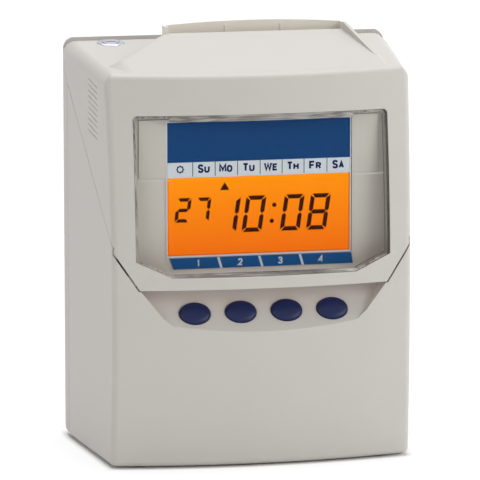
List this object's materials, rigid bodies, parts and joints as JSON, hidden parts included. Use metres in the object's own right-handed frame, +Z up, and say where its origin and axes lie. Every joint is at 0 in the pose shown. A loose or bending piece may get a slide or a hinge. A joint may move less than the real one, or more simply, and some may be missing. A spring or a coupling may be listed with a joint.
{
  "type": "time clock",
  "caption": "Desk or wall time clock with a card slot in its lift-up cover, an orange liquid crystal display behind a clear window and oval push buttons.",
  "frame": {"origin": "middle of the bounding box at the surface that the rubber feet stand on", "axes": "+X to the right seen from the front, +Y to the back, +Z up"},
  "size_m": [0.188, 0.117, 0.2403],
  "materials": {
    "case": "satin",
    "rear_shell": "satin",
    "guide": "satin",
    "clear": "polished",
    "lock_metal": "polished",
    "steel": "satin",
    "fascia": "matte",
    "blue_plate": "satin",
    "white_strip": "satin",
    "lcd": "gloss",
    "diffuser": "matte",
    "board": "satin",
    "button": "satin",
    "zinc": "zinc plated",
    "rubber": "matte",
    "gear_plastic": "satin",
    "brass": "satin",
    "dark_plastic": "satin",
    "grey_plastic": "satin",
    "head": "satin",
    "iron": "lacquered",
    "battery": "satin"
  },
  "bodies": {
    "case": {"rear_case": "rear_shell", "lower_case": "case", "hinge_pins": "steel", "display_fascia": "fascia", "header_plate": "blue_plate", "weekday_strip": "white_strip", "number_strip": "blue_plate", "lcd_panel": "lcd", "backlight": "diffuser", "display_board": "board", "button_board": "board", "chassis": "zinc", "front_chute": "steel", "rear_chute": "steel", "platen": "rubber", "feed_motor": "zinc", "guide_rods": "steel", "ribbon_cassette": "dark_plastic", "carriage_motor": "zinc", "idler_post": "steel", "carriage_belt": "rubber", "main_board": "board", "board_spacers": "brass", "transformer": "iron", "battery_pack": "battery", "power_inlet": "dark_plastic", "rubber_feet": "rubber", "case_screws": "steel", "chassis_screws": "steel"},
    "cover": {"upper_cover": "case", "card_guide": "guide", "window_lens": "clear", "lock_barrel": "lock_metal", "lock_nut": "steel", "buzzer": "dark_plastic"},
    "lock": {"lock_core": "lock_metal", "lock_cam": "steel"},
    "button_1": {"button_1": "button"},
    "button_2": {"button_2": "button"},
    "button_3": {"button_3": "button"},
    "button_4": {"button_4": "button"},
    "feed": {"feed_shaft": "steel", "feed_rollers": "rubber", "feed_gear": "gear_plastic"},
    "pinion": {"motor_pinion": "brass"},
    "pinch": {"pinch_shaft": "steel", "pinch_rollers": "rubber"},
    "carriage": {"print_carriage": "dark_plastic", "print_head": "head"},
    "drive": {"drive_pulley": "gear_plastic"},
    "idler": {"idler_pulley": "gear_plastic"},
    "ribbon": {"ribbon_knob": "grey_plastic"}
  },
  "joints": [
    {"name": "cover_hinge", "type": "hinge", "parent": "case", "child": "cover", "pos_m": [0, 0.0502, 0.224], "axis": [-1, 0, 0], "range_deg": [0, 65]},
    {"name": "lock_turn", "type": "hinge", "parent": "cover", "child": "lock", "pos_m": [-0.068, 0.044, 0.2271], "axis": [0, 0.0936, -0.9956], "range_deg": [0, 90]},
    {"name": "button_1_press", "type": "slide", "parent": "case", "child": "button_1", "axis": [0, 0.766, -0.6428], "range_m": [0, 0.0012], "stiffness_N_per_m": 300},
    {"name": "button_2_press", "type": "slide", "parent": "case", "child": "button_2", "axis": [0, 0.766, -0.6428], "range_m": [0, 0.0012], "stiffness_N_per_m": 300},
    {"name": "button_3_press", "type": "slide", "parent": "case", "child": "button_3", "axis": [0, 0.766, -0.6428], "range_m": [0, 0.0012], "stiffness_N_per_m": 300},
    {"name": "button_4_press", "type": "slide", "parent": "case", "child": "button_4", "axis": [0, 0.766, -0.6428], "range_m": [0, 0.0012], "stiffness_N_per_m": 300},
    {"name": "feed_turn", "type": "hinge", "parent": "case", "child": "feed", "pos_m": [0.011, 0.0148, 0.17], "axis": [1, 0, 0], "continuous": true},
    {"name": "pinion_turn", "type": "hinge", "parent": "case", "child": "pinion", "pos_m": [-0.0485, -0.00093, 0.15899], "axis": [1, 0, 0], "continuous": true},
    {"name": "pinch_turn", "type": "hinge", "parent": "case", "child": "pinch", "pos_m": [0.011, 0.0302, 0.17], "axis": [1, 0, 0], "continuous": true},
    {"name": "carriage_slide", "type": "slide", "parent": "case", "child": "carriage", "axis": [1, 0, 0], "range_m": [-0.033, 0.033]},
    {"name": "drive_turn", "type": "hinge", "parent": "case", "child": "drive", "pos_m": [-0.0345, -0.004, 0.097], "axis": [0, 0, 1], "range_deg": [-290, 290]},
    {"name": "idler_turn", "type": "hinge", "parent": "case", "child": "idler", "pos_m": [0.0565, -0.004, 0.097], "axis": [0, 0, 1], "range_deg": [-290, 290]},
    {"name": "ribbon_turn", "type": "hinge", "parent": "case", "child": "ribbon", "pos_m": [0.0465, 0, 0.145], "axis": [0, 0, 1], "continuous": true}
  ],
  "couplings": [
    {"joint": "pinion_turn", "follows": "feed_turn", "ratio": -3},
    {"joint": "pinch_turn", "follows": "feed_turn", "ratio": -1.5},
    {"joint": "drive_turn", "follows": "carriage_slide", "rad_per_m": 149.25},
    {"joint": "idler_turn", "follows": "carriage_slide", "rad_per_m": 149.25}
  ]
}
